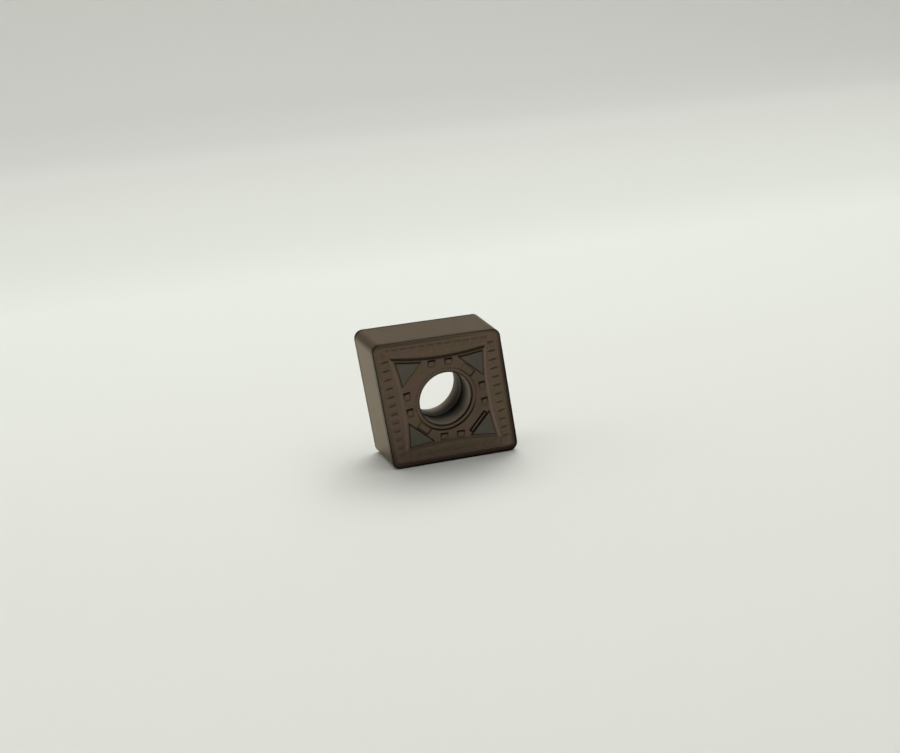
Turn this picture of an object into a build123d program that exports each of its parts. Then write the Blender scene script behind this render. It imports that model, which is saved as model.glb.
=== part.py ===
from build123d import *
import os
from math import cos, floor, radians, sin, tan

# A double-sided 80 degree rhombic cutting insert, pressed and sintered as one piece.
# Millimetres and degrees. The insert stands on one flank: X runs along that flank, Y along
# the hole, Z up. The origin is on the ground, under the middle of the hole.

# Body
inscribed_circle = 12.7      # the circle that touches all four flanks
corner_angle = 80.0          # at the two sharp corners; the blunt ones have the rest of 180
thickness = 4.76             # from seat pads to seat pads
nose_radius = 0.8
edge_hone = 0.04             # rounding of the cutting edge

# Chip groove, measured inwards from the flank and down from the cutting edge
land_width = 0.12
rake_run = 0.40              # from the land to the groove's floor
groove_depth = 0.24
groove_corner_radius = 0.30

# Ribs across the groove's floor
rib_start = 0.50
rib_length = 1.05
rib_width = 0.84
rib_pitch = 0.90
rib_height = 0.06
rib_draft = 45.0
rib_corner_gap = 1.25        # the least distance from a rib's middle to the next flank

# Island inside the groove, with a waist halfway along each side
island_corner_inset = 1.78
island_waist_inset = 2.18
island_wall_run = 0.27
island_corner_radius = 0.22
island_drop = 0.10           # its top lies this far below the seat pads

# Seat pads, one in each corner of the island
pad_margin = 0.22            # from the island's edge
sharp_pad_gap = 1.56         # along the diagonal, from the ring to the pad's straight side
blunt_pad_gap = 0.86
pad_corner_radius = 0.10
pad_wall_run = 0.04

# Bar beside the sharp pad next to the ground, and sunk panel beside each blunt pad
bar_gap = 0.18
bar_width = 0.30
bar_length = 2.25
bar_height = 0.08
panel_gap = 0.14
panel_width = 1.50
panel_depth = 0.07

# Small raised marks, in pairs between the ring and each side of the island
mark_length = 0.85
mark_spacing = 1.70
mark_ring_gap = 0.30
mark_edge_gap = 0.05         # from the island's edge at its waist
mark_height = 0.08
mark_draft = 15.0            # of the bar and panels too

# Hole, narrowest halfway through, with a rounded mouth sunk in a shallow ring
hole_diameter = 5.16
hole_land = 1.60             # length of the cylindrical wall in the middle
mouth_diameter = 5.20
mouth_radius = 0.20
ring_diameter = 6.20
ring_depth = 0.09

root = 0.05                  # what a raised feature reaches into the surface that carries it

half_width = inscribed_circle / 2
seat_level = thickness / 2
groove_level = seat_level - groove_depth
island_level = seat_level - island_drop
sharp_half_angle = radians(corner_angle / 2)

# The corners go round from the sharp one at the right-hand end of the ground flank.
corner_directions = [-corner_angle / 2 + 90 * k for k in range(4)]
side_directions = [90 - corner_angle, 90, 270 - corner_angle, 270]


def polar(distance, direction):
    """Point at a distance from the hole's middle, in the plane of the face."""
    return (distance * cos(radians(direction)), distance * sin(radians(direction)))


def is_sharp(k):
    return k % 2 == 0


def corner_reach(inset, k):
    """Distance from the hole to corner k of a rhombus that lies inset inside the flanks."""
    share = sin(sharp_half_angle) if is_sharp(k) else cos(sharp_half_angle)
    return (half_width - inset) / share


def corner(inset, k):
    return polar(corner_reach(inset, k % 4), corner_directions[k % 4])


def rhombus(inset, radius):
    outline = Polyline(*[corner(inset, k) for k in range(4)], close=True)
    face = make_face(outline)
    return fillet(face.vertices(), radius)


def waisted_outline(inset, radius):
    """The island's outline, moved inwards by inset: four arcs that bow towards the hole."""
    sides = []
    for k in range(4):
        start = Vector(*corner(island_corner_inset + inset, k))
        end = Vector(*corner(island_corner_inset + inset, k + 1))
        inwards = Vector(*polar(island_waist_inset - island_corner_inset, side_directions[k]))
        sides.append(ThreePointArc(start, (start + end) / 2 - inwards, end))
    face = make_face(Curve() + sides)
    return fillet(face.vertices(), radius)


def at_level(level, sketch):
    return Pos(0, 0, level) * sketch


def tapered_block(place, length, width, start, end, draft):
    """Block between two levels, whose four walls draw in by the draft towards the second."""
    shrink = 2 * abs(end - start) * tan(radians(draft))
    wide = place * Rectangle(length, width)
    narrow = place * Rectangle(length - shrink, width - shrink)
    return loft([at_level(start, wide), at_level(end, narrow)], ruled=True)


def block():
    body = extrude(rhombus(0, nose_radius), amount=seat_level, both=True)
    rims = body.edges().filter_by_position(Axis.Z, seat_level, seat_level)
    rims += body.edges().filter_by_position(Axis.Z, -seat_level, -seat_level)
    return fillet(rims, edge_hone)


def groove():
    top = rhombus(land_width, nose_radius - land_width)
    bottom = rhombus(land_width + rake_run, groove_corner_radius)
    return loft([at_level(groove_level, bottom), at_level(seat_level, top)], ruled=True)


def island():
    foot = waisted_outline(-island_wall_run, island_corner_radius + island_wall_run)
    top = waisted_outline(0, island_corner_radius)
    return loft([at_level(groove_level, foot), at_level(island_level, top)], ruled=True)


def side_frame(k):
    """Middle of flank k, and the direction along it."""
    start = Vector(*corner(0, k))
    end = Vector(*corner(0, k + 1))
    return (start + end) / 2, (end - start).normalized()


def near_another_flank(point, k):
    for other in (k - 1, k + 1):
        outwards = Vector(*polar(1, side_directions[other % 4]))
        if half_width - point.dot(outwards) < rib_corner_gap:
            return True
    return False


def ribs():
    """The ribs of all four sides, square to the flank and in step from its middle."""
    blocks = []
    side_length = inscribed_circle / sin(radians(corner_angle))
    count = floor(side_length / rib_pitch / 2)
    for k in range(4):
        flank_middle, along = side_frame(k)
        inwards = Vector(*polar(1, side_directions[k])) * -(rib_start + rib_length / 2)
        for step in range(-count, count):
            middle = flank_middle + inwards + along * (step + 0.5) * rib_pitch
            if not near_another_flank(middle, k):
                place = Pos(middle.X, middle.Y) * Rot(0, 0, side_directions[k])
                blocks.append(tapered_block(place, rib_length, rib_width, groove_level - root,
                                            groove_level + rib_height, rib_draft))
    return Part() + blocks


def pad_base(k):
    """Distance from the hole's middle to the straight side of the seat pad in corner k."""
    return ring_diameter / 2 + (sharp_pad_gap if is_sharp(k) else blunt_pad_gap)


def on_diagonal(distance, k):
    """Place on the diagonal of corner k, turned so that its X runs outwards."""
    return Pos(*polar(distance, corner_directions[k])) * Rot(0, 0, corner_directions[k])


def pad_section(k, spread):
    """The seat pad's outline in corner k, moved outwards by spread."""
    outline = waisted_outline(pad_margin - spread, pad_corner_radius + spread)
    middle = pad_base(k) - spread + half_width
    return outline & (on_diagonal(middle, k) * Rectangle(inscribed_circle, inscribed_circle))


def pads():
    """Seat pads with sloped walls, rooted below the top of the island."""
    foot_level = island_level - root
    foot_spread = pad_wall_run * (seat_level - foot_level) / island_drop
    feet = [at_level(foot_level, pad_section(k, foot_spread)) for k in range(4)]
    tops = [at_level(seat_level, pad_section(k, 0)) for k in range(4)]
    return Part() + [loft([foot, top], ruled=True) for foot, top in zip(feet, tops)]


def bar():
    place = on_diagonal(pad_base(0) - bar_gap - bar_width / 2, 0)
    return tapered_block(place, bar_width, bar_length, island_level - root,
                         island_level + bar_height, mark_draft)


def panels():
    """Sunk panels, open to the ring."""
    blocks = []
    inner = ring_diameter / 2 - panel_gap
    for k in (1, 3):
        length = pad_base(k) - panel_gap - inner
        blocks.append(tapered_block(on_diagonal(inner + length / 2, k), length, panel_width,
                                    island_level + panel_depth, island_level - panel_depth,
                                    mark_draft))
    return Part() + blocks


def marks():
    """Two marks on each side of the island, centred on the line to the middle of the flank."""
    blocks = []
    inner = ring_diameter / 2 + mark_ring_gap
    outer = half_width - island_waist_inset - mark_edge_gap
    for k in range(4):
        flank_middle, along = side_frame(k)
        pair_middle = flank_middle * ((inner + outer) / 2 / half_width)
        for side in (-0.5, 0.5):
            middle = pair_middle + along * side * mark_spacing
            place = Pos(middle.X, middle.Y) * Rot(0, 0, side_directions[k])
            blocks.append(tapered_block(place, outer - inner, mark_length, island_level - root,
                                        island_level + mark_height, mark_draft))
    return Part() + blocks


def hole():
    """One half of the hole, from the middle of the insert out past the seat pads."""
    ring_level = island_level - ring_depth
    mouth_level = ring_level - mouth_radius
    mouth = mouth_diameter / 2
    lip = mouth + mouth_radius
    ring = ring_diameter / 2
    wall = Polyline((0, 0), (hole_diameter / 2, 0), (hole_diameter / 2, hole_land / 2),
                    (mouth, mouth_level))
    rounding = RadiusArc((mouth, mouth_level), (lip, ring_level), mouth_radius)
    rest = Polyline((lip, ring_level), (ring, ring_level), (ring, thickness), (0, thickness), (0, 0))
    profile = make_face(Plane.XZ * (Curve() + [wall, rounding, rest]))
    return revolve(profile, Axis.Z)


def both_faces(feature):
    """A feature of one face, and its copy on the other: a half turn about the long diagonal."""
    long_diagonal = Axis((0, 0, 0), (*polar(1, corner_directions[0]), 0))
    return [feature, feature.rotate(long_diagonal, 180)]


insert = block()
insert -= both_faces(groove())
insert += both_faces(island())
insert += both_faces(ribs())
insert -= both_faces(panels())
insert += both_faces(pads())
insert += both_faces(bar())
insert += both_faces(marks())
insert -= both_faces(hole())

standing = Plane(origin=(0, 0, half_width), x_dir=(1, 0, 0), z_dir=(0, -1, 0))
insert = standing * insert

os.makedirs("parts", exist_ok=True)
insert.label = "insert"
export_step(insert, "parts/insert.step")
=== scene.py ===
"""A rhombic carbide insert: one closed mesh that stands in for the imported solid, its coating,
and the floor, lights and camera."""

import bpy
import numpy as np
from mathutils import Matrix, Vector
from mathutils.geometry import delaunay_2d_cdt


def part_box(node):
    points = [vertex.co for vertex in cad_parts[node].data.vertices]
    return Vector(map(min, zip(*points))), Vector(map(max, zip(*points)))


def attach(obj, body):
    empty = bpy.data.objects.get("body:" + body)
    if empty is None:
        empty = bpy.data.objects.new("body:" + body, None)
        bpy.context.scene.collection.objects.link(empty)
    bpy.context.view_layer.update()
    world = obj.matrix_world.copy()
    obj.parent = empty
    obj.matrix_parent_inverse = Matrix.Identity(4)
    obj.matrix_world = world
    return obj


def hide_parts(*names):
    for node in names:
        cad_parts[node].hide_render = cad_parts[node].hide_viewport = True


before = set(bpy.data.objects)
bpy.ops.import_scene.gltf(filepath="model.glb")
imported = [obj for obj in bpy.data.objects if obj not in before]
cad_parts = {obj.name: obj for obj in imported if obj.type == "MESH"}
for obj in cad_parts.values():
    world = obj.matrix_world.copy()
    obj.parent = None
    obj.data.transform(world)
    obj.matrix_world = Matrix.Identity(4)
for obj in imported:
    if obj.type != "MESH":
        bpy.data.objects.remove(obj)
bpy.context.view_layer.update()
low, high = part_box("insert")

# Sizes in millimetres, most of them as in the part's source. The rake's run and curve, the ribs'
# and marks' heights, the ribs' fading ends, most walls' runs, the roundings and the seam differ
# from it, or are only here. Insets go inwards from the flanks, and depths down from the seat pads.
MM = 0.001
INSCRIBED_CIRCLE = (high.z - low.z) / MM
THICKNESS = (high.y - low.y) / MM
CORNER_ANGLE = np.radians(80)
NOSE_RADIUS = 0.8
HONE = 0.04
LAND_WIDTH = 0.12
RAKE_RUN = 0.48
RAKE_CURVE = 1.3
GROOVE_DEPTH = 0.24
GROOVE_CORNER_RADIUS = 0.30
RIB_START = 0.50
RIB_LENGTH = 1.05
RIB_WIDTH = 0.84
RIB_PITCH = 0.90
RIB_HEIGHT = 0.065
RIB_WALL_RUN = 0.13
RIB_OUTER_RUN = 0.32
RIB_INNER_RUN = 0.22
RIB_CORNER_GAP = 1.25
RIB_FADE_START = 0.85
RIB_FADE_RUN = 0.50
ISLAND_CORNER_INSET = 1.78
ISLAND_WAIST_INSET = 2.18
ISLAND_WALL_RUN = 0.27
ISLAND_CORNER_RADIUS = 0.22
ISLAND_DROP = 0.10
PAD_MARGIN = 0.22
SHARP_PAD_GAP = 1.56
BLUNT_PAD_GAP = 0.86
PAD_CORNER_RADIUS = 0.12
PAD_SIDE_ROUNDING = 0.10
PAD_WALL_RUN = 0.12
BAR_GAP = 0.18
BAR_WIDTH = 0.30
BAR_LENGTH = 2.25
BAR_HEIGHT = 0.08
BAR_WALL_RUN = 0.06
PANEL_GAP = 0.14
PANEL_WIDTH = 1.50
PANEL_DEPTH = 0.07
PANEL_WALL_RUN = 0.15
MARK_LENGTH = 0.85
MARK_SPACING = 1.70
MARK_RING_GAP = 0.30
MARK_EDGE_GAP = 0.05
MARK_HEIGHT = 0.09
MARK_WALL_RUN = 0.15
HOLE_RADIUS = 2.58
MOUTH_RADIUS = 2.60
MOUTH_ROUNDING = 0.20
RING_RADIUS = 3.10
RING_DEPTH = 0.09
RING_WALL_RUN = 0.08
# The seam halfway down the hole is a low swell with a ridge on it. The loops of vertices over
# the ridge each have a distance from halfway, a height above the swell and a tilt in degrees.
SEAM_SWELL = 0.05
SEAM_REACH = 0.8
SEAM_LOOPS = ((0.26, -0.012, 72), (0.22, 0.01, 50), (0.18, 0.03, 55), (0.14, 0.04, 80),
              (0.10, 0.042, 90))

# Half the width of the rounding where two surfaces meet.
LAND_ROUNDING = 0.04
RIB_ROUNDING = 0.05
RIB_OUTER_ROUNDING = 0.10
RIB_INNER_ROUNDING = 0.08
RIB_FADE_ROUNDING = 0.15
RIB_SLOPE_ROUNDING = 0.02
ISLAND_ROUNDING = 0.03
GROOVE_ROUNDING = 0.05
PAD_ROUNDING = 0.015
PAD_FOOT_ROUNDING = 0.02
RELIEF_ROUNDING = 0.015
RING_ROUNDING = 0.02
MARK_CORNER_RADIUS = 0.06
BAR_CORNER_RADIUS = 0.05
PANEL_CORNER_RADIUS = 0.05

# Directions in which the painted shade on the ring's wall and the hole's mouth is darkest, and how
# far that reaches.
RING_SHADE_ANGLE = np.radians(-80)
MOUTH_SHADE_ANGLE = np.radians(-40)
SHADE_REACH = np.radians(75)
# The four sides, in the order of NORMALS.
RIGHT, TOP, LEFT, BOTTOM = range(4)
# Share of painted highlight on the island's wall on each side.
PAINTED_WALL_HIGHLIGHTS = (0.75, 0.0, 0.4, 0.6)
# Strength, width and fade of the painted shade beside the edge on each side.
FACE_EDGE_SHADES = ((1.00, 0.08, 0.42), (0.60, 0.00, 0.12), (0.80, 0.06, 0.15), (1.00, 0.14, 0.10))
FLANK_EDGE_SHADES = ((1.00, 0.10, 0.20), (1.00, 0.22, 0.18), (1.00, 0.34, 0.26), (1.00, 0.10, 0.20))

HALF = INSCRIBED_CIRCLE / 2
LIP_RADIUS = MOUTH_RADIUS + MOUTH_ROUNDING
RING_LEVEL = ISLAND_DROP + RING_DEPTH
DIAGONALS = -CORNER_ANGLE / 2 + np.radians([0, 90, 180, 270])
NORMALS = np.radians([90, 90, 270, 270]) - np.array([1, 0, 1, 0]) * CORNER_ANGLE

# Bands of painted shade, or of painted highlight for ISLAND_WALL and LOWER_RIBS: middle, half width
# and fade, as band() takes them. They are measured inwards from an outline, but the ring's from the
# hole's middle and the mouth's from the seat pads.
PAD_FOOT = (-0.06, 0.03, 0.05)
RING_WALL = (RING_RADIUS, 0.05, 0.06)
BAR_WALL = (-0.01, 0.06, 0.05)
MARK_WALL = (MARK_WALL_RUN / 2, 0.04, 0.06)
PANEL_WALL = (PANEL_WALL_RUN / 2, 0.05, 0.06)
ISLAND_WALL = (-ISLAND_WALL_RUN / 2, 0.06, 0.08)
ISLAND_FOOT = (-0.11, 0.03, 0.08)
RAKE = (0.25, 0.14, 0.08)
LOWER_RIBS = (0.74, 0.16, 0.14)
MOUTH_EDGE = (RING_LEVEL + 0.02, 0.03, 0.08)
# How far in from its edge the painted shade on the island's top reaches its full darkness, and the
# height over which the painted shade on a mark's walls goes from pale at its lower end to dark at
# its upper end.
ISLAND_TOP_FADE = 0.1
MARK_SHADE_REACH = 0.6
# Masks of the coating and of the painted shade and highlight, each with its value on those parts
# of the mesh that don't have it.
MASKS = {"painted_wall_lighting": 0.0, "painted_shade": 0.0, "seat": -1.0, "painted_edge_shading": 0.0, "bore": 0.0, "painted_seam_shade": -1.0}


def direction(angle):
    return np.array([np.cos(angle), np.sin(angle)])


def corner(inset, k):
    """Corner k of a rhombus inset inside the flanks. Even corners are the sharp ones."""
    share = np.sin(CORNER_ANGLE / 2) if k % 2 == 0 else np.cos(CORNER_ANGLE / 2)
    return direction(DIAGONALS[k % 4]) * (HALF - inset) / share


def length(vectors):
    return np.sqrt((vectors**2).sum(-1))


# Shaping functions. They take arrays, and widths are half the width of a rounding.


def rounded_ramp(x, width):
    """0 below -width, x above width, and a parabola between."""
    x = np.asarray(x, float)
    middle = (x + width) ** 2 / (4 * width)
    return np.where(x <= -width, 0, np.where(x >= width, x, middle))


def rise(x, run, width):
    """From 0 at x = 0 up to 1 at x = run, rounded at both ends."""
    return (rounded_ramp(x, width) - rounded_ramp(x - run, width)) / run


def band(x, middle, half, fade):
    """1 within half of the middle, 0 beyond the fade."""
    return np.clip((half + fade - np.abs(x - middle)) / fade, 0, 1)


def smooth_min(a, b, width):
    share = np.clip(0.5 + 0.5 * (b - a) / width, 0, 1)
    return b + (a - b) * share - width * share * (1 - share)


def smooth_max(a, b, width):
    return -smooth_min(-a, -b, width)


def side_insets(points):
    """Distance inwards from each of the four flanks."""
    return [HALF - points @ direction(angle) for angle in NORMALS]


def rounded_rhombus(points, inset, radius):
    """Distance inwards from a rhombus inset inside the flanks, with its corners rounded."""
    corners = [corner(inset + radius, k) for k in range(4)]
    nearest = np.full(len(points), np.inf)
    for k in range(4):
        start, along = corners[k], corners[(k + 1) % 4] - corners[k]
        share = np.clip(((points - start) @ along) / (along @ along), 0, 1)
        nearest = np.minimum(nearest, length(points - start - share[:, None] * along))
    inside = np.min(side_insets(points), axis=0) > inset + radius
    return radius + np.where(inside, nearest, -nearest)


def box_distance(points, middle, angle, long, wide, radius):
    """Distance inwards from a rounded rectangle whose length runs along the angle."""
    local = points - middle
    x = np.abs(local @ direction(angle)) - long / 2 + radius
    y = np.abs(local @ direction(angle + np.pi / 2)) - wide / 2 + radius
    outside = np.hypot(np.maximum(x, 0), np.maximum(y, 0))
    return radius - outside - np.minimum(np.maximum(x, y), 0)


def island_distance(points, margin=0.0, corner_radius=ISLAND_CORNER_RADIUS):
    """Distance inwards from the island's waisted outline: four arcs that bow inwards."""
    distance = None
    for k in range(4):
        start = corner(ISLAND_CORNER_INSET, k)
        end = corner(ISLAND_CORNER_INSET, k + 1)
        sagitta = ISLAND_WAIST_INSET - ISLAND_CORNER_INSET
        half_chord = length(end - start) / 2
        radius = (half_chord**2 + sagitta**2) / (2 * sagitta)
        centre = (start + end) / 2 + direction(NORMALS[k]) * (radius - sagitta)
        side = length(points - centre) - radius - margin
        distance = side if distance is None else smooth_min(distance, side, corner_radius)
    return distance


def pad_base(k):
    return RING_RADIUS + (SHARP_PAD_GAP if k % 2 == 0 else BLUNT_PAD_GAP)


def pad_distance(points):
    """Distance inwards from the nearest seat pad's outline."""
    outline = island_distance(points, PAD_MARGIN, PAD_CORNER_RADIUS)
    pads = []
    for k in range(4):
        beyond = points @ direction(DIAGONALS[k]) - pad_base(k)
        pads.append(smooth_min(outline, beyond, PAD_SIDE_ROUNDING))
    return np.max(pads, axis=0)


def side_frame(k):
    start, end = corner(0, k), corner(0, k + 1)
    return (start + end) / 2, (end - start) / length(end - start)


def rib_heights(points):
    """Height of the ribs above the groove's floor, as a share of a whole rib."""
    insets = side_insets(points)
    heights = np.zeros(len(points))
    side = INSCRIBED_CIRCLE / np.sin(CORNER_ANGLE)
    count = int(side / RIB_PITCH / 2)
    for k in range(4):
        flank_middle, along = side_frame(k)
        travel = (points - flank_middle) @ along
        from_start = insets[k] - RIB_START
        ends = rise(from_start, RIB_OUTER_RUN, RIB_OUTER_ROUNDING)
        ends = ends * rise(RIB_LENGTH - from_start, RIB_INNER_RUN, RIB_INNER_ROUNDING)
        beside = np.minimum(insets[(k + 1) % 4], insets[(k + 3) % 4])
        ends = ends * rise(beside - RIB_FADE_START, RIB_FADE_RUN, RIB_FADE_ROUNDING)
        for step in range(-count, count):
            place = (step + 0.5) * RIB_PITCH
            middle = flank_middle + along * place
            middle = middle - direction(NORMALS[k]) * (RIB_START + RIB_LENGTH / 2)
            others = [HALF - middle @ direction(NORMALS[(k + turn) % 4]) for turn in (1, 3)]
            if min(others) < RIB_CORNER_GAP:
                continue
            across = RIB_WIDTH / 2 - np.abs(travel - place)
            heights = np.maximum(heights, rise(across, RIB_WALL_RUN, RIB_ROUNDING) * ends)
    return heights


def mark_places():
    """Middle and angle of each small raised mark."""
    places = []
    inner = RING_RADIUS + MARK_RING_GAP
    reach = (inner + HALF - ISLAND_WAIST_INSET - MARK_EDGE_GAP) / 2
    for k in range(4):
        flank_middle, along = side_frame(k)
        for side in (-0.5, 0.5):
            places.append((flank_middle * reach / HALF + along * side * MARK_SPACING, NORMALS[k]))
    return places


def reliefs(points):
    """Kind and middle of each mark, bar and panel, the points' distance inwards from its outline,
    its height and its walls' run."""
    found = []
    mark_width = HALF - ISLAND_WAIST_INSET - RING_RADIUS - MARK_RING_GAP - MARK_EDGE_GAP
    for place, angle in mark_places():
        inwards = box_distance(points, place, angle, mark_width, MARK_LENGTH, MARK_CORNER_RADIUS)
        found.append(("mark", place, inwards, MARK_HEIGHT, MARK_WALL_RUN))
    middle = direction(DIAGONALS[0]) * (pad_base(0) - BAR_GAP - BAR_WIDTH / 2)
    inwards = box_distance(points, middle, DIAGONALS[0], BAR_WIDTH, BAR_LENGTH, BAR_CORNER_RADIUS)
    found.append(("bar", middle, inwards, BAR_HEIGHT, BAR_WALL_RUN))
    for k in (1, 3):
        inner = RING_RADIUS - PANEL_GAP
        outer = pad_base(k) - PANEL_GAP
        middle = direction(DIAGONALS[k]) * (inner + outer) / 2
        inwards = box_distance(points, middle, DIAGONALS[k], outer - inner, PANEL_WIDTH,
                               PANEL_CORNER_RADIUS)
        found.append(("panel", middle, inwards, -PANEL_DEPTH, PANEL_WALL_RUN))
    return found


def nearness(points, angle):
    """1 in the direction of the angle, falling to 0 at SHADE_REACH from it."""
    share = points @ direction(angle) / length(points)
    return np.clip((share - np.cos(SHADE_REACH)) / (1 - np.cos(SHADE_REACH)), 0, 1)


def side_weights(points):
    """How much each point belongs to each of the four sides, by its direction. They add up to 1."""
    weights = np.array([nearness(points, angle) ** 3 for angle in NORMALS])
    return weights / weights.sum(0)


def painted_edge_shade(points, distance, shades):
    """How dark the painted shade is at a distance from the cutting edge."""
    strength, width, fade = np.array(shades).T @ side_weights(points)
    return strength * np.clip((width + fade - distance) / fade, 0, 1)


def painted_face_shade(points):
    """Painted shade on the face: on the island's top, on the rake along the bottom, and in the
    walls round the ring, pads, marks, bar and panels."""
    # Painted shade at the foot of the seat pads.
    painted_dark = 0.75 * band(pad_distance(points), *PAD_FOOT)
    # Painted shade on the ring's wall, darkest towards RING_SHADE_ANGLE.
    ring = 0.35 + 0.6 * nearness(points, RING_SHADE_ANGLE)
    painted_dark = np.maximum(painted_dark, ring * band(length(points), *RING_WALL))
    nearest_side = np.argmin(side_insets(points), axis=0)
    island = island_distance(points)
    # Painted shade on the island's top, stronger towards the right, and at the foot of its wall
    # along the top.
    island_top = 0.17 + 0.12 * side_weights(points)[RIGHT]
    painted_dark = np.maximum(painted_dark, island_top * np.clip(island / ISLAND_TOP_FADE, 0, 1))
    painted_dark = np.maximum(painted_dark, 0.5 * (nearest_side == TOP) * band(island, *ISLAND_FOOT))
    # Painted shade on the rake along the bottom.
    rake = band(rounded_rhombus(points, 0, NOSE_RADIUS), *RAKE)
    painted_dark = np.maximum(painted_dark, 0.40 * side_weights(points)[BOTTOM] * rake)
    # Painted shade in the walls of the panels, bar and marks, darker towards each mark's upper end.
    for kind, middle, inwards, _, _ in reliefs(points):
        if kind == "panel":
            painted_wall_lighting = 0.5 * band(inwards, *PANEL_WALL)
        elif kind == "bar":
            painted_wall_lighting = band(inwards, *BAR_WALL)
        else:
            upper = np.clip(0.5 + (points[:, 1] - middle[1]) / MARK_SHADE_REACH, 0, 1)
            painted_wall_lighting = (0.35 + 0.55 * upper) * band(inwards, *MARK_WALL)
        painted_dark = np.maximum(painted_dark, painted_wall_lighting)
    return painted_dark


def depth(points):
    """How far the face lies below the plane of the seat pads."""
    from_edge = rounded_rhombus(points, 0, NOSE_RADIUS)
    floor_outline = rounded_rhombus(points, LAND_WIDTH + RAKE_RUN, GROOVE_CORNER_RADIUS)
    share = np.clip(from_edge / (LAND_WIDTH + RAKE_RUN), 0, 1)
    inset = from_edge * (1 - share) + (floor_outline + LAND_WIDTH + RAKE_RUN) * share
    remaining = np.clip(1 - rounded_ramp(inset - LAND_WIDTH, LAND_ROUNDING) / RAKE_RUN, 0, 1)
    groove = GROOVE_DEPTH * (1 - remaining**RAKE_CURVE)
    below_ribs = rounded_ramp(groove - GROOVE_DEPTH + RIB_HEIGHT, RIB_SLOPE_ROUNDING)
    groove = groove - below_ribs * rib_heights(points)

    from_island = island_distance(points)
    fall = rise(-from_island, ISLAND_WALL_RUN, ISLAND_ROUNDING)
    island = ISLAND_DROP + (GROOVE_DEPTH - ISLAND_DROP) * fall
    for _, _, inwards, height, run in reliefs(points):
        island = island - height * rise(inwards, run, RELIEF_ROUNDING)
    ring = rise(RING_RADIUS - length(points) + RING_WALL_RUN / 2, RING_WALL_RUN, RING_ROUNDING)
    island = smooth_max(island, RING_LEVEL * ring, RING_ROUNDING)

    pads = ISLAND_DROP / PAD_WALL_RUN * rounded_ramp(-pad_distance(points), PAD_ROUNDING)
    face = smooth_min(smooth_min(groove, island, GROOVE_ROUNDING), pads, PAD_FOOT_ROUNDING)
    return np.maximum(face, 0)


# Mesh of one face, between the hone and the hole's lip. Its points are crowded where the surface
# departs from flat by FLATNESS, or its painted shade by SHADE_STEP.

EDGE_SPACING = 0.10
NOSE_STEPS = 14
CIRCLE_STEPS = 168
COARSE_CELL = 0.32
REFINEMENTS = 3
FLATNESS = 0.003
SHADE_STEP = 0.16
RIM_CLEARANCE = 0.03
CELL_CORNERS = ((0, 0), (1, 0), (0, 1), (1, 1))


def outline(inset):
    """Points around the rounded rhombus at an inset less than the nose radius."""
    points = []
    side = length(corner(NOSE_RADIUS, 1) - corner(NOSE_RADIUS, 0))
    steps = int(round(side / EDGE_SPACING))
    for k in range(4):
        centre = corner(NOSE_RADIUS, k)
        start, end = NORMALS[(k + 3) % 4], NORMALS[k]
        turn = (end - start + np.pi) % (2 * np.pi) - np.pi
        for share in np.linspace(0, 1, NOSE_STEPS + 1):
            points.append(centre + direction(start + turn * share) * (NOSE_RADIUS - inset))
        following = corner(NOSE_RADIUS, k + 1)
        offset = direction(end) * (NOSE_RADIUS - inset)
        for share in np.linspace(0, 1, steps + 1)[1:-1]:
            points.append(centre + (following - centre) * share + offset)
    return np.array(points)


def circle(radius):
    angles = DIAGONALS[0] + 2 * np.pi * np.arange(CIRCLE_STEPS) / CIRCLE_STEPS
    return np.stack([np.cos(angles), np.sin(angles)], -1) * radius


def bends(cells, size):
    """Which square cells the surface or its shade bends in, by their inner points."""
    offsets = [(a, b) for a in (0, 0.25, 0.5, 0.75, 1) for b in (0, 0.25, 0.5, 0.75, 1)]
    found = np.zeros(len(cells), bool)
    for values_at, tolerance in ((depth, FLATNESS), (painted_face_shade, SHADE_STEP)):
        samples = {o: values_at(cells + np.array(o) * size) for o in offsets}
        for a, b in offsets:
            flat = (samples[0, 0] * (1 - a) * (1 - b) + samples[1, 0] * a * (1 - b)
                    + samples[0, 1] * (1 - a) * b + samples[1, 1] * a * b)
            found |= np.abs(samples[a, b] - flat) > tolerance
    return found


def crowded_points():
    """Corners of square cells that are halved again wherever the surface bends."""
    reach_x, reach_y = length(corner(0, 0)), HALF
    xs = np.arange(-np.ceil(reach_x / COARSE_CELL), np.ceil(reach_x / COARSE_CELL)) * COARSE_CELL
    ys = np.arange(-np.ceil(reach_y / COARSE_CELL), np.ceil(reach_y / COARSE_CELL)) * COARSE_CELL
    cells = np.stack(np.meshgrid(xs, ys), -1).reshape(-1, 2)
    size = COARSE_CELL
    unit = COARSE_CELL / 2**REFINEMENTS
    found = []
    for level in range(REFINEMENTS + 1):
        keep = rounded_rhombus(cells + size / 2, 0, NOSE_RADIUS) > -size
        keep &= length(cells + size / 2) > LIP_RADIUS - size
        cells = cells[keep]
        for offset in CELL_CORNERS:
            found.append(np.round((cells + np.array(offset) * size) / unit).astype(int))
        if level == REFINEMENTS:
            break
        cells = cells[bends(cells, size)]
        size /= 2
        cells = np.concatenate([cells + np.array(offset) * size for offset in CELL_CORNERS])
    return np.unique(np.concatenate(found), axis=0) * unit


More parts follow.
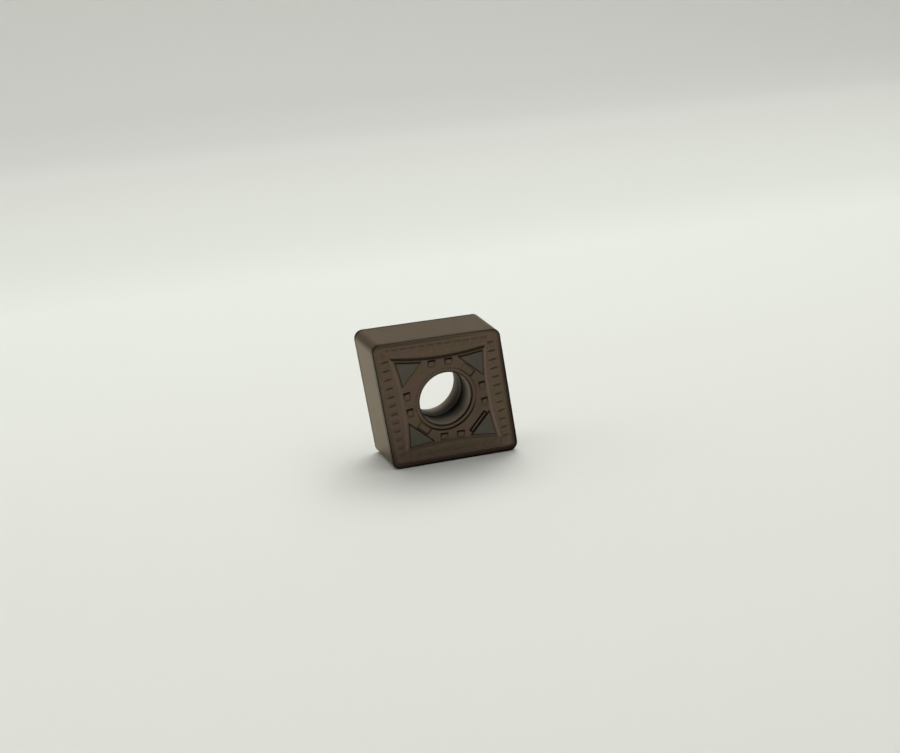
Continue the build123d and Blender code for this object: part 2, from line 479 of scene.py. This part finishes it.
def face_mesh():
    """Points and triangles of one face. The outline comes first, then the circle of the lip."""
    rim = outline(HONE)
    lip = circle(LIP_RADIUS)
    inner = crowded_points()
    clear = rounded_rhombus(inner, 0, NOSE_RADIUS) > HONE + RIM_CLEARANCE
    clear &= length(inner) > LIP_RADIUS + RIM_CLEARANCE
    points = np.concatenate([rim, lip, inner[clear]])
    edges = [(i, (i + 1) % len(rim)) for i in range(len(rim))]
    edges += [(len(rim) + i, len(rim) + (i + 1) % len(lip)) for i in range(len(lip))]
    vertices, _, triangles, sources, _, _ = delaunay_2d_cdt(
        [Vector(p) for p in points.tolist()], edges, [], 0, 1e-6)
    origin = np.array([source[0] for source in sources])
    triangles = origin[np.array([list(t) for t in triangles])]
    middles = points[triangles].mean(1)
    triangles = triangles[length(middles) > LIP_RADIUS * np.cos(np.pi / CIRCLE_STEPS)]
    return points, triangles, len(rim), len(lip)


def face_normals(points):
    """Outward normals of the front face from its slope, in the frame's axes."""
    step = 0.002
    across = (depth(points + [step, 0]) - depth(points - [step, 0])) / (2 * step)
    up = (depth(points + [0, step]) - depth(points - [0, step])) / (2 * step)
    normals = np.stack([across, -np.ones(len(points)), up], -1)
    return normals / length(normals)[:, None]


def turned_over(vectors):
    """The same vectors after a half turn about the long diagonal, which swaps the faces."""
    double = 2 * DIAGONALS[0]
    x = vectors[:, 0] * np.cos(double) + vectors[:, 2] * np.sin(double)
    z = vectors[:, 0] * np.sin(double) - vectors[:, 2] * np.cos(double)
    return np.stack([x, -vectors[:, 1], z], -1)


def match(targets, candidates):
    """For each target, the index of the candidate at the same place."""
    gaps = length(targets[:, None, :] - candidates[None, :, :])
    return gaps.argmin(1)


def ring_rows(first, rows, last, start_index):
    """Quads that join a closed loop of vertices to more loops and then to a last one."""
    count = len(first)
    loops = [np.asarray(first)]
    loops += [start_index + count * i + np.arange(count) for i in range(rows)]
    loops.append(np.asarray(last))
    quads = []
    for near, far in zip(loops, loops[1:]):
        quads.append(np.stack([near, np.roll(near, -1), np.roll(far, -1), far], -1))
    return np.concatenate(quads)


def flank_rows():
    """Levels below the seat pads, insets and normals' tilts of the loops round the flanks."""
    rows = []
    for angle in np.radians([22.5, 45, 67.5, 90]):
        rows.append((HONE * (1 - np.cos(angle)), HONE * (1 - np.sin(angle)), angle))
    for level in (0.10, 0.20, 0.30, 0.40, 0.50, 0.60):
        rows.append((level, 0, np.pi / 2))
    back = [(THICKNESS - level, inset, np.pi - angle) for level, inset, angle in reversed(rows)]
    return rows + back


def hole_rows():
    """Levels, radii and normals' tilts of the loops down the hole, from lip to lip."""
    rows = []
    for angle in np.radians(np.arange(11.25, 91, 11.25)):
        level = RING_LEVEL + MOUTH_ROUNDING * (1 - np.cos(angle))
        radius = LIP_RADIUS - MOUTH_ROUNDING * np.sin(angle)
        rows.append((level, radius, angle))
    for before_middle in (1.2, 0.7, 0.55, 0.45, 0.35):
        phase = np.pi * min(before_middle / SEAM_REACH, 1)
        swell = 0.5 + 0.5 * np.cos(phase)
        slope = SEAM_SWELL * np.pi / (2 * SEAM_REACH) * np.sin(phase)
        rows.append((THICKNESS / 2 - before_middle, HOLE_RADIUS - SEAM_SWELL * swell,
                     np.pi / 2 - np.arctan(slope)))
    crest = HOLE_RADIUS - SEAM_SWELL
    for before_middle, height, tilt in SEAM_LOOPS:
        rows.append((THICKNESS / 2 - before_middle, crest - height, np.radians(tilt)))
    back = [(THICKNESS - level, radius, np.pi - angle) for level, radius, angle in reversed(rows)]
    return rows + back


def loop_vertices(rows):
    """Vertices and normals of loops. Each row gives a loop's points, directions away from the
    solid, level and normals' tilt."""
    places, normals = [], []
    for points, outwards, level, tilt in rows:
        y = np.full(len(points), level - THICKNESS / 2)
        places.append(np.stack([points[:, 0], y, points[:, 1]], -1))
        sideways = outwards * np.sin(tilt)
        normals.append(np.stack([sideways[:, 0], np.full(len(points), -np.cos(tilt)),
                                 sideways[:, 1]], -1))
    return np.concatenate(places), np.concatenate(normals)


def face_masks(flat):
    """The masks on one face, for the coating and its painted shade and highlight. The seat's is a
    distance inwards, the rest are shares.
    """
    from_edge = rounded_rhombus(flat, 0, NOSE_RADIUS)
    # Painted highlight on the island's walls, and beside the outer ends of the lower ribs.
    wall_highlights = np.array(PAINTED_WALL_HIGHLIGHTS)[np.argmin(side_insets(flat), axis=0)]
    wall_highlights = wall_highlights * band(island_distance(flat), *ISLAND_WALL)
    lower_rib_highlight = 0.6 * side_weights(flat)[BOTTOM] * band(from_edge, *LOWER_RIBS)
    return {
        "painted_wall_lighting": np.maximum(wall_highlights, lower_rib_highlight),
        "painted_shade": painted_face_shade(flat),
        "seat": pad_distance(flat),
        "painted_edge_shading": painted_edge_shade(flat, from_edge, FACE_EDGE_SHADES),
    }


def flank_masks(rim):
    # Painted shade beside the edge on the flanks.
    levels = np.repeat([level for level, _, _ in flank_rows()], len(rim))
    around = np.tile(rim, (len(flank_rows()), 1))
    from_face = np.minimum(levels, THICKNESS - levels)
    return {"painted_edge_shading": painted_edge_shade(around, from_face, FLANK_EDGE_SHADES)}


def bore_masks(unit):
    """The bore's share grows over the mouth's rounding, and the painted shade towards the seam
    grows down to the middle. Painted shade also lies on the front mouth's edge.
    """
    levels = np.repeat([level for level, _, _ in hole_rows()], len(unit))
    from_mouth = np.minimum(levels, THICKNESS - levels) - RING_LEVEL
    # Painted shade that darkens the bore down to the seam halfway, more on the back half.
    painted_seam_shade = np.clip(from_mouth / (THICKNESS / 2 - RING_LEVEL), 0, 1)
    painted_seam_shade = np.where(levels > THICKNESS / 2, 0.25 + 0.75 * painted_seam_shade, painted_seam_shade)
    # Painted shade on the front mouth's edge, darkest towards MOUTH_SHADE_ANGLE and on the opposite
    # side.
    mouth = 0.5 + 0.45 * nearness(unit, MOUTH_SHADE_ANGLE)
    mouth = mouth + 0.4 * nearness(-unit, MOUTH_SHADE_ANGLE)
    painted_shade = [mouth * band(level, *MOUTH_EDGE) for level, _, _ in hole_rows()]
    return {
        "bore": np.clip(from_mouth / MOUTH_ROUNDING, 0, 1),
        "painted_seam_shade": painted_seam_shade,
        "painted_shade": np.concatenate(painted_shade),
    }


def build_insert():
    """The whole insert as one closed mesh with its normals and its masks for the coating and for
    its painted shade and highlight.
    """
    flat, triangles, n_rim, n_lip = face_mesh()
    front = np.stack([flat[:, 0], depth(flat) - THICKNESS / 2, flat[:, 1]], -1)
    front[:n_rim, 1] = -THICKNESS / 2
    front[n_rim:n_rim + n_lip, 1] = RING_LEVEL - THICKNESS / 2
    front_normals = face_normals(flat)
    front_normals[:n_rim + n_lip] = (0, -1, 0)
    back, back_normals = turned_over(front), turned_over(front_normals)
    count = len(flat)

    rim = outline(HONE)
    zero = outline(0)
    rim_outwards = zero - rim
    rim_outwards = rim_outwards / length(rim_outwards)[:, None]
    rows = []
    for level, inset, tilt in flank_rows():
        rows.append((outline(inset), rim_outwards, level, tilt))
    flank, flank_normals = loop_vertices(rows)
    holes = []
    unit = circle(1)
    for level, radius, tilt in hole_rows():
        holes.append((unit * radius, -unit, level, tilt))
    bore, bore_normals = loop_vertices(holes)

    rim_back = count + match(front[:n_rim][:, [0, 2]], back[:n_rim][:, [0, 2]])
    lip_index = np.arange(n_rim, n_rim + n_lip)
    lip_back = count + n_rim + match(front[lip_index][:, [0, 2]], back[lip_index][:, [0, 2]])
    flank_start = 2 * count
    bore_start = flank_start + len(flank)
    flank_quads = ring_rows(np.arange(n_rim), len(rows), rim_back, flank_start)[:, ::-1]
    bore_quads = ring_rows(lip_index, len(holes), lip_back, bore_start)

    places = np.concatenate([front, back, flank, bore])
    normals = np.concatenate([front_normals, back_normals, flank_normals, bore_normals])
    places[:, 2] += HALF
    faces = triangles.tolist() + (triangles + count).tolist()
    faces += flank_quads.tolist() + bore_quads.tolist()
    mesh = bpy.data.meshes.new("insert_body")
    mesh.from_pydata((places * MM).tolist(), [], faces)
    on_face = face_masks(flat)
    parts = [(count, on_face), (count, on_face), (len(flank), flank_masks(rim)),
             (len(bore), bore_masks(unit))]
    for name, elsewhere in MASKS.items():
        values = [masks.get(name, np.full(size, elsewhere)) for size, masks in parts]
        attribute = mesh.attributes.new(name, "FLOAT", "POINT")
        attribute.data.foreach_set("value", np.concatenate(values).astype(np.float32))
    mesh.shade_smooth()
    mesh.normals_split_custom_set_from_vertices(normals.tolist())
    piece = bpy.data.objects.new("insert_body", mesh)
    bpy.context.scene.collection.objects.link(piece)
    return piece


# Materials


def node(tree, kind, **settings):
    made = tree.nodes.new(kind)
    for name, value in settings.items():
        setattr(made, name, value)
    return made


def color_ramp(tree, source, stops):
    """Colours that follow the source through the stops, which go up."""
    made = node(tree, "ShaderNodeValToRGB")
    elements = made.color_ramp.elements
    for position, _ in stops[1:-1]:
        elements.new(position)
    for element, (position, color) in zip(elements, stops):
        element.position, element.color = position, (*color, 1)
    tree.links.new(source, made.inputs["Fac"])
    return made.outputs["Color"]


def coating():
    """Brown hard coating, a little mottled and ground off on the seats, with painted shade along
    the edge, in the creases and down the bore, and painted highlight on the island's walls.
    """
    material = bpy.data.materials.new("coated_carbide")
    material.use_nodes = True
    tree = material.node_tree
    shader = tree.nodes["Principled BSDF"]
    link = tree.links.new
    place = node(tree, "ShaderNodeTexCoord").outputs["Object"]

    def noise(scale, detail, rough):
        made = node(tree, "ShaderNodeTexNoise")
        made.inputs["Scale"].default_value = scale
        made.inputs["Detail"].default_value = detail
        made.inputs["Roughness"].default_value = rough
        link(place, made.inputs["Vector"])
        return made.outputs["Fac"]

    def attribute(name):
        return node(tree, "ShaderNodeAttribute", attribute_name=name).outputs["Fac"]

    def mask(name, start, end):
        made = node(tree, "ShaderNodeMapRange", interpolation_type="SMOOTHSTEP")
        made.inputs["From Min"].default_value = start
        made.inputs["From Max"].default_value = end
        link(attribute(name), made.inputs["Value"])
        return made.outputs["Result"]

    def mix(factor, a, b):
        made = node(tree, "ShaderNodeMix", data_type="RGBA")
        link(factor, made.inputs["Factor"])
        link(a, made.inputs["A"])
        if isinstance(b, tuple):
            made.inputs["B"].default_value = (*b, 1)
        else:
            link(b, made.inputs["B"])
        return made.outputs["Result"]

    brown = color_ramp(tree, noise(600, 3, 0.6),
                       [(0.36, (0.129, 0.083, 0.064)), (0.64, (0.110, 0.086, 0.054))])
    grey = color_ramp(tree, noise(1500, 2, 0.5),
                      [(0.3, (0.089, 0.080, 0.066)), (0.7, (0.102, 0.091, 0.077))])
    painted_dark = (0.010, 0.005, 0.003)
    # Painted highlight: paler brown on the island's walls.
    with_wall_highlight = mix(mask("painted_wall_lighting", 0.0, 1.0), brown, (0.185, 0.135, 0.108))
    # Painted shade along the cutting edge.
    with_edge_shade = mix(attribute("painted_edge_shading"), with_wall_highlight, painted_dark)
    seated = mix(mask("seat", -0.01, 0.02), with_edge_shade, grey)
    bored = mix(mask("bore", 0.2, 1.0), seated, (0.380, 0.316, 0.258))
    # Painted shade, near black towards the seam in the bore.
    with_seam_shade = mix(mask("painted_seam_shade", -0.1, 0.85), bored, (0.003, 0.002, 0.002))
    # Painted shade in the creases and on the mouth's edge.
    link(mix(mask("painted_shade", 0.0, 1.0), with_seam_shade, painted_dark), shader.inputs["Base Color"])
    shader.inputs["Metallic"].default_value = 0.85
    rough = node(tree, "ShaderNodeMapRange")
    link(attribute("bore"), rough.inputs["Value"])
    rough.inputs["To Min"].default_value = 0.33
    rough.inputs["To Max"].default_value = 0.60
    link(rough.outputs["Result"], shader.inputs["Roughness"])
    shader.inputs["Specular Tint"].default_value = (1.0, 0.95, 0.84, 1)
    bump = node(tree, "ShaderNodeBump")
    bump.inputs["Strength"].default_value = 0.25
    bump.inputs["Distance"].default_value = 0.00002
    link(noise(14000, 3, 0.6), bump.inputs["Height"])
    link(bump.outputs["Normal"], shader.inputs["Normal"])
    return material


def floor_material():
    """Pale paper with painted shade that makes it darker towards the back, by the travel along the
    floor and up the wall.
    """
    material = bpy.data.materials.new("paper")
    material.use_nodes = True
    tree = material.node_tree
    shader = tree.nodes["Principled BSDF"]
    # Painted shade: the paper darkens towards the back and up the wall.
    stops = [(0.00, (0.78, 0.79, 0.73)), (0.12, (0.79, 0.81, 0.75)), (0.22, (0.79, 0.81, 0.75)),
             (0.28, (0.72, 0.74, 0.685)), (0.38, (0.67, 0.685, 0.63)), (0.45, (0.63, 0.64, 0.60)),
             (0.49, (0.58, 0.585, 0.55)), (0.57, (0.55, 0.55, 0.52)), (0.84, (0.52, 0.53, 0.49)),
             (1.00, (0.50, 0.51, 0.47))]
    travel = node(tree, "ShaderNodeAttribute", attribute_name="travel").outputs["Fac"]
    tree.links.new(color_ramp(tree, travel, stops), shader.inputs["Base Color"])
    shader.inputs["Roughness"].default_value = 0.7
    return material


# Stage, lights and camera, in metres

FLOOR_REACH = 0.25  # travel from under the insert to where the floor's colour stops changing


def add_stage():
    """Pale floor that sweeps up into a wall well behind the insert."""
    width, front, back, radius, top = 0.8, -0.5, 0.16, 0.12, 0.6
    profile = [(front, 0.0), (back, 0.0)]
    for angle in np.radians(np.arange(7.5, 91, 7.5)):
        profile.append((back + radius * np.sin(angle), radius * (1 - np.cos(angle))))
    profile.append((back + radius, top))
    vertices = [(x, y, z) for y, z in profile for x in (-width, width)]
    faces = [(2 * i, 2 * i + 1, 2 * i + 3, 2 * i + 2) for i in range(len(profile) - 1)]
    mesh = bpy.data.meshes.new("floor")
    mesh.from_pydata(vertices, [], faces)
    mesh.shade_smooth()
    mesh.materials.append(floor_material())
    steps = np.hypot(*np.diff(np.array(profile), axis=0).T)
    travel = np.concatenate([[0], np.cumsum(steps)]) + front
    attribute = mesh.attributes.new("travel", "FLOAT", "POINT")
    attribute.data.foreach_set("value", np.repeat(travel / FLOOR_REACH, 2).astype(np.float32))
    floor = bpy.data.objects.new("floor", mesh)
    bpy.context.scene.collection.objects.link(floor)


def add_light(name, place, aim, size, power):
    lamp = bpy.data.lights.new(name, "AREA")
    lamp.shape = "RECTANGLE"
    lamp.size, lamp.size_y = size
    lamp.energy = power
    holder = bpy.data.objects.new(name, lamp)
    holder.location = place
    holder.rotation_euler = (Vector(aim) - Vector(place)).to_track_quat("-Z", "Y").to_euler()
    bpy.context.scene.collection.objects.link(holder)


def add_world(strength):
    world = bpy.data.worlds.new("studio")
    world.use_nodes = True
    background = world.node_tree.nodes["Background"]
    background.inputs["Color"].default_value = (1.0, 1.0, 0.98, 1)
    background.inputs["Strength"].default_value = strength
    bpy.context.scene.world = world


def add_camera():
    """The camera that the photograph was taken with, solved from the insert's outline."""
    azimuth, elevation, roll = np.radians([-23.37, 21.02, 0.146])
    distance, target = 0.18977, Vector((0.001359, 0, 0.007612))
    backwards = Vector((np.sin(azimuth) * np.cos(elevation),
                        -np.cos(azimuth) * np.cos(elevation), np.sin(elevation)))
    camera = bpy.data.cameras.new("camera")
    camera.sensor_fit = "HORIZONTAL"
    camera.sensor_width = 36
    camera.lens = 79.915
    camera.clip_start = 0.01
    holder = bpy.data.objects.new("camera", camera)
    turn = backwards.to_track_quat("Z", "Y").to_matrix() @ Matrix.Rotation(roll, 3, "Z")
    holder.matrix_world = Matrix.Translation(target + backwards * distance) @ turn.to_4x4()
    bpy.context.scene.collection.objects.link(holder)
    bpy.context.scene.camera = holder


insert = build_insert()
insert.data.materials.append(coating())
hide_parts("insert")
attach(insert, "root")

add_stage()
add_light("top_softbox", (0.04, 0.07, 0.40), (0.02, 0.03, 0), (0.55, 0.40), 1.16)
add_light("back_softbox", (0.10, 0.23, 0.38), (0, 0, 0.006), (0.35, 0.30), 0.92)
add_light("left_softbox", (-0.38, 0.10, 0.30), (0, 0, 0.006), (0.35, 0.30), 0.41)
add_world(0.14)
add_camera()
bpy.context.scene.view_settings.view_transform = "Standard"
